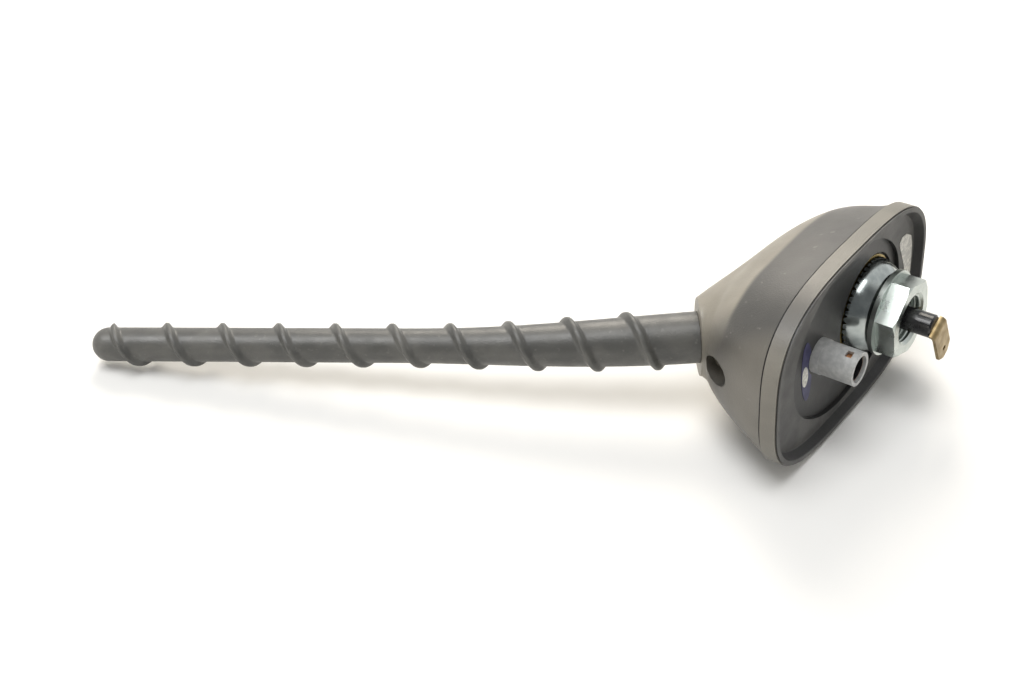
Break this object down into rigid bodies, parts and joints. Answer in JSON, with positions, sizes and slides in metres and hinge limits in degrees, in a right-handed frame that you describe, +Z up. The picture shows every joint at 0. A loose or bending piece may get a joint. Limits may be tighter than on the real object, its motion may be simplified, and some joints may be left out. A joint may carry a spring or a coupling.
{
  "type": "roof antenna",
  "caption": "Vehicle roof antenna: plastic hood on a rubber seal, ribbed rubber mast leaning back, and below the roof a clamp nut, a bent blade terminal and a round coaxial connector.",
  "frame": {"origin": "on the stud's axis in the plane of the roof skin, where the seal's lip rests", "axes": "+X to the nose of the hood, +Y to its left side, +Z up out of the roof; the mast leans to -X"},
  "size_m": [0.1452, 0.05, 0.1745],
  "materials": {
    "hood_plastic": "fine matte grain",
    "seal_rubber": "matte",
    "mast_rubber": "matte, scuffed",
    "zinc_steel": "bright zinc",
    "yellow_zinc": "yellow passivated",
    "plain_steel": "plain",
    "black_plastic": "glossy",
    "grey_plastic": "satin",
    "white_plastic": "plain",
    "brass": "plain",
    "copper_wire": "enamelled",
    "board_green": "solder mask",
    "tinned_sheet": "tinned"
  },
  "bodies": {
    "base": {"cover": "hood_plastic", "base_plate": "hood_plastic", "seal": "seal_rubber", "cover_screws": "plain_steel", "threaded_stud": "zinc_steel", "contact_ring": "yellow_zinc", "contact_carrier": "black_plastic", "blade_terminal": "brass", "connector_shroud": "grey_plastic", "connector_sleeve": "brass", "connector_insulator": "white_plastic", "connector_contact": "brass", "circuit_board": "board_green", "board_screws": "plain_steel", "board_shield": "tinned_sheet", "feed_spring": "brass", "mast_socket": "plain_steel", "lock_screw": "plain_steel", "mast_sheath": "mast_rubber", "mast_rod": "white_plastic", "mast_winding": "copper_wire", "mast_ferrule": "plain_steel"},
    "clamp_cup": {"toothed_cup": "zinc_steel"},
    "clamp_nut": {"flange_nut": "zinc_steel"}
  },
  "joints": [
    {"name": "clamp_travel", "type": "slide", "parent": "base", "child": "clamp_cup", "axis": [0, 0, -1], "range_m": [0, 0.005]},
    {"name": "nut_turn", "type": "hinge", "parent": "clamp_cup", "child": "clamp_nut", "pos_m": [0, 0, 0], "axis": [0, 0, -1], "continuous": true}
  ]
}
